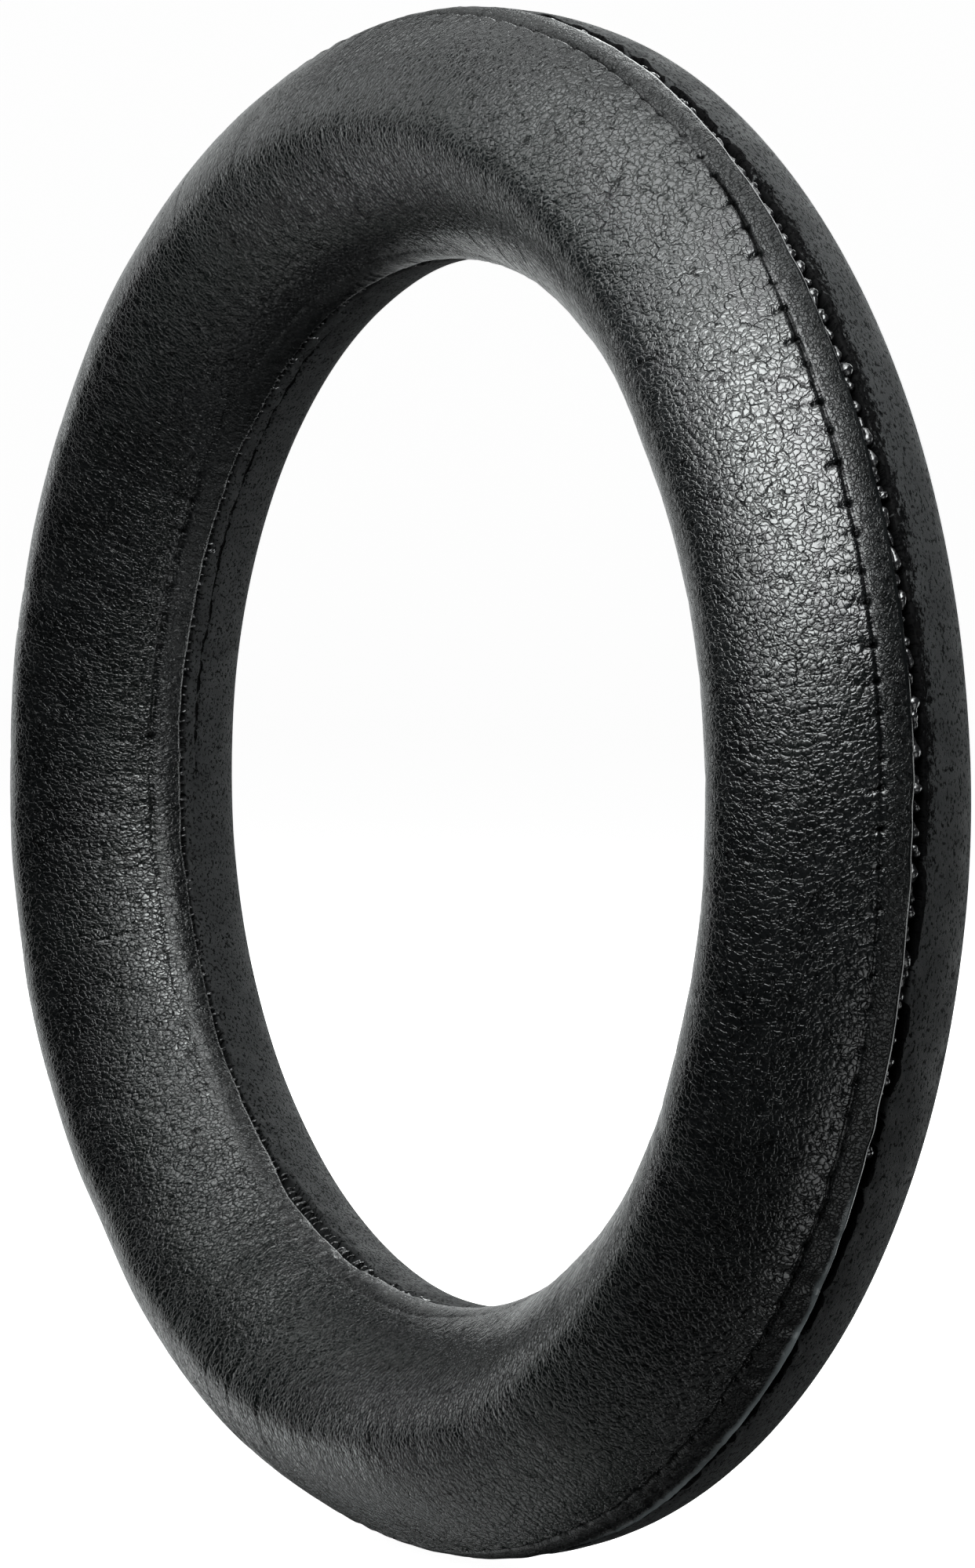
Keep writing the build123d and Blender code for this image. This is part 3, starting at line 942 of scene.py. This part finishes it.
def fibre_board(name, shade):
    """Pressed board with short fibres."""
    n = Nodes(name)
    where = n.add("TexCoord").outputs["Object"]
    fibre = n.noise(n.vector("MULTIPLY", where, (1.0, 3.0, 1.0)), 700.0, 4.0, 0.7)
    colour = n.mix_colour(fibre, darker(shade, 0.6), shade)
    rough = n.ramp(fibre, 0.2, 0.8, 0.6, 0.85)
    return n.finish(Base_Color=colour, Roughness=rough, Normal=n.bump(fibre, 0.0001))


def adhesive_film(name, shade):
    """Acrylic adhesive on a thin carrier: satin, faintly rippled, with small trapped bubbles."""
    n = Nodes(name)
    where = n.add("TexCoord").outputs["Object"]
    ripple = n.noise(where, 260.0, 4.0, 0.6)
    bubble = n.ramp(n.cells(where, 420.0, "F1"), 0.04, 0.10)
    colour = n.mix_colour(n.ramp(ripple, 0.25, 0.75), darker(shade, 0.75), shade)
    colour = n.mix_colour(bubble, darker(shade, 1.8), colour)
    height = n.math("ADD", ripple, n.times(bubble, -0.4))
    rough = n.ramp(ripple, 0.25, 0.75, 0.30, 0.42)
    return n.finish(Base_Color=colour, Roughness=rough, Normal=n.bump(height, 0.00012))


def give(obj, material):
    """Makes a material the only one of an object."""
    obj.data.materials.clear()
    obj.data.materials.append(material)


# ------------------------------------------------------------------ build
front = grained_front()
rear = smooth_rear()
give(front, grained_leather())
give(rear, smooth_leather())
top_thread = waxed_thread("topstitch_thread", 0.55, (0.004, 0.004, 0.0044), 0.0)
seam_thread = waxed_thread("seam_thread", 0.18, (0.012, 0.012, 0.013), 1.0)
for wall in (1, -1):
    give(topstitches(wall), top_thread)
    give(seam_stitches(wall), seam_thread)
stay_tape = woven("stay_tape", (0.03, 0.03, 0.032), 900.0)
carried_over = {
    "outer_bobbin_thread": top_thread,
    "inner_bobbin_thread": top_thread,
    "outer_seam_tape": stay_tape,
    "inner_seam_tape": stay_tape,
    "front_lining": woven("lining_knit", (0.12, 0.12, 0.125), 600.0),
    "crown_foam": open_cell("soft_foam", (0.16, 0.16, 0.17), 1600.0),
    "base_foam": open_cell("firm_foam", (0.07, 0.07, 0.075), 1300.0),
    "backing_ring": fibre_board("backing_board", (0.05, 0.05, 0.052)),
    "mounting_adhesive": adhesive_film("adhesive_tape", (0.06, 0.06, 0.058))}
for node, material in carried_over.items():
    give(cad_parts[node], material)


# ------------------------------------------------------------------ floor, light, camera
FLOOR_GLOW = 0.97                # the sweep is lit to near white, as on a light table
FLOOR_YAW = 57                   # degrees
CAMERA_AZIMUTH, CAMERA_ELEVATION, CAMERA_ROLL = 56.86, 3.12, 0.93    # degrees
CAMERA_DISTANCE = 0.430          # metres
CAMERA_LENS = 145.1              # millimetres
CAMERA_SHIFT = (0.0235, -0.0004)
WORLD_GLOW = 0.002
LIGHT_TINT = (0.968, 1.0, 0.997)
NEAR, FAR = (0.22, 0.16), (0.50, 0.35)       # distance from the cushion and size of a light, in metres
LIGHTS = (                                   # name, longitude, latitude, distance, size, watts
    ("key", 63, 36, 0.10, 0.05, 0.075),
    ("key_high", 64, 52, 0.14, 0.09, 0.045),
    ("key_low", 42, 32, 0.14, 0.09, 0.090),
    ("top_left", -20, 58, *NEAR, 0.17),
    ("top", 20, 70, *NEAR, 0.15),
    ("overhead", 110, 82, *FAR, 0.58),
    ("left", -80, -12, *FAR, 0.36),
    ("left_high", -80, 22, *FAR, 0.29),
    ("left_rear", -120, 0, *FAR, 0.32),
    ("left_rear_high", -120, 50, *FAR, 0.30),
    ("under", 0, -85, *FAR, 0.06),
    ("low_left", -86, -42, *FAR, 0.16),
    ("low_front", -55, -50, *FAR, 0.10),
    ("low_right", 90, -40, *FAR, 0.58),
    ("behind", 170, -12, *FAR, 1.30),
    ("back_fill", 210, 28, *FAR, 1.60))


def studio_floor():
    """A pale sweep, in metres: level floor that curves up behind, square to the camera."""
    half_width, ahead, back, radius, wall = 3.0, 1.5, 1.2, 0.5, 1.5
    z0 = cad_box[0].z
    t = np.linspace(0, np.pi / 2, 24)
    y = np.concatenate([[-ahead], back + radius * np.sin(t), [back + radius]]) / MM
    z = np.concatenate([[z0], z0 + radius * (1 - np.cos(t)), [z0 + radius + wall]]) / MM
    x = np.array([-half_width, half_width]) / MM
    yaw = np.radians(FLOOR_YAW)
    verts = [(xx * np.cos(yaw) - yy * np.sin(yaw), xx * np.sin(yaw) + yy * np.cos(yaw), zz)
             for yy, zz in zip(y, z) for xx in x]
    k = np.arange(len(y) - 1) * 2
    obj = new_mesh("studio_floor", np.array(verts), np.stack([k, k + 1, k + 3, k + 2], -1))
    obj.parent = None
    n = Nodes("studio_floor")
    grit = n.noise(n.add("TexCoord").outputs["Object"], 60.0, 3.0)
    shade = n.mix_colour(grit, (0.80, 0.80, 0.80), (0.84, 0.84, 0.84))
    seen = n.add("LightPath").outputs["Is Camera Ray"]
    give(obj, n.finish(Base_Color=shade, Roughness=0.8, Emission_Color=(1, 1, 1, 1),
                       Emission_Strength=n.math("MULTIPLY", seen, FLOOR_GLOW)))
    return obj


def soft_light(name, direction, distance, size, power):
    """A square area light that looks at the cushion's centre."""
    data = bpy.data.lights.new(name, "AREA")
    data.shape = "SQUARE"
    data.size = size
    data.energy = power
    data.color = LIGHT_TINT
    lamp = bpy.data.objects.new(name, data)
    place = Vector(direction).normalized() * distance
    lamp.location = place
    lamp.rotation_euler = place.to_track_quat("Z", "Y").to_euler()
    bpy.context.scene.collection.objects.link(lamp)


def bearing(longitude, latitude):
    """Direction from the cushion: longitude 0 is straight ahead of its front, 90 is +X."""
    lon, lat = np.radians(longitude), np.radians(latitude)
    return (np.sin(lon) * np.cos(lat), -np.cos(lon) * np.cos(lat), np.sin(lat))


floor = studio_floor()
floor.visible_glossy = False
floor.visible_diffuse = False
floor.visible_shadow = False
for name, longitude, latitude, distance, size, power in LIGHTS:
    soft_light(name, bearing(longitude, latitude), distance, size, power)

world = bpy.data.worlds.new("studio")
bpy.context.scene.world = world
world.use_nodes = True
tree = world.node_tree
tree.nodes["Background"].inputs[0].default_value = (1, 1, 1, 1)
tree.nodes["Background"].inputs[1].default_value = WORLD_GLOW


def photo_camera():
    """Camera on the photograph's bearing from the seam plane's centre."""
    back = Vector(bearing(CAMERA_AZIMUTH, CAMERA_ELEVATION))
    data = bpy.data.cameras.new("camera")
    data.lens = CAMERA_LENS
    data.shift_x, data.shift_y = CAMERA_SHIFT
    data.clip_start = 0.01
    data.clip_end = 20
    cam = bpy.data.objects.new("camera", data)
    target = Vector((0, SEAM_Y * MM, 0))
    turn = back.to_track_quat("Z", "Y").to_matrix() @ Matrix.Rotation(np.radians(CAMERA_ROLL), 3, "Z")
    cam.matrix_world = Matrix.Translation(target + back * CAMERA_DISTANCE) @ turn.to_4x4()
    bpy.context.scene.collection.objects.link(cam)
    return cam


scene = bpy.context.scene
scene.camera = photo_camera()
scene.view_settings.view_transform = "Standard"
scene.view_settings.exposure = 0.0
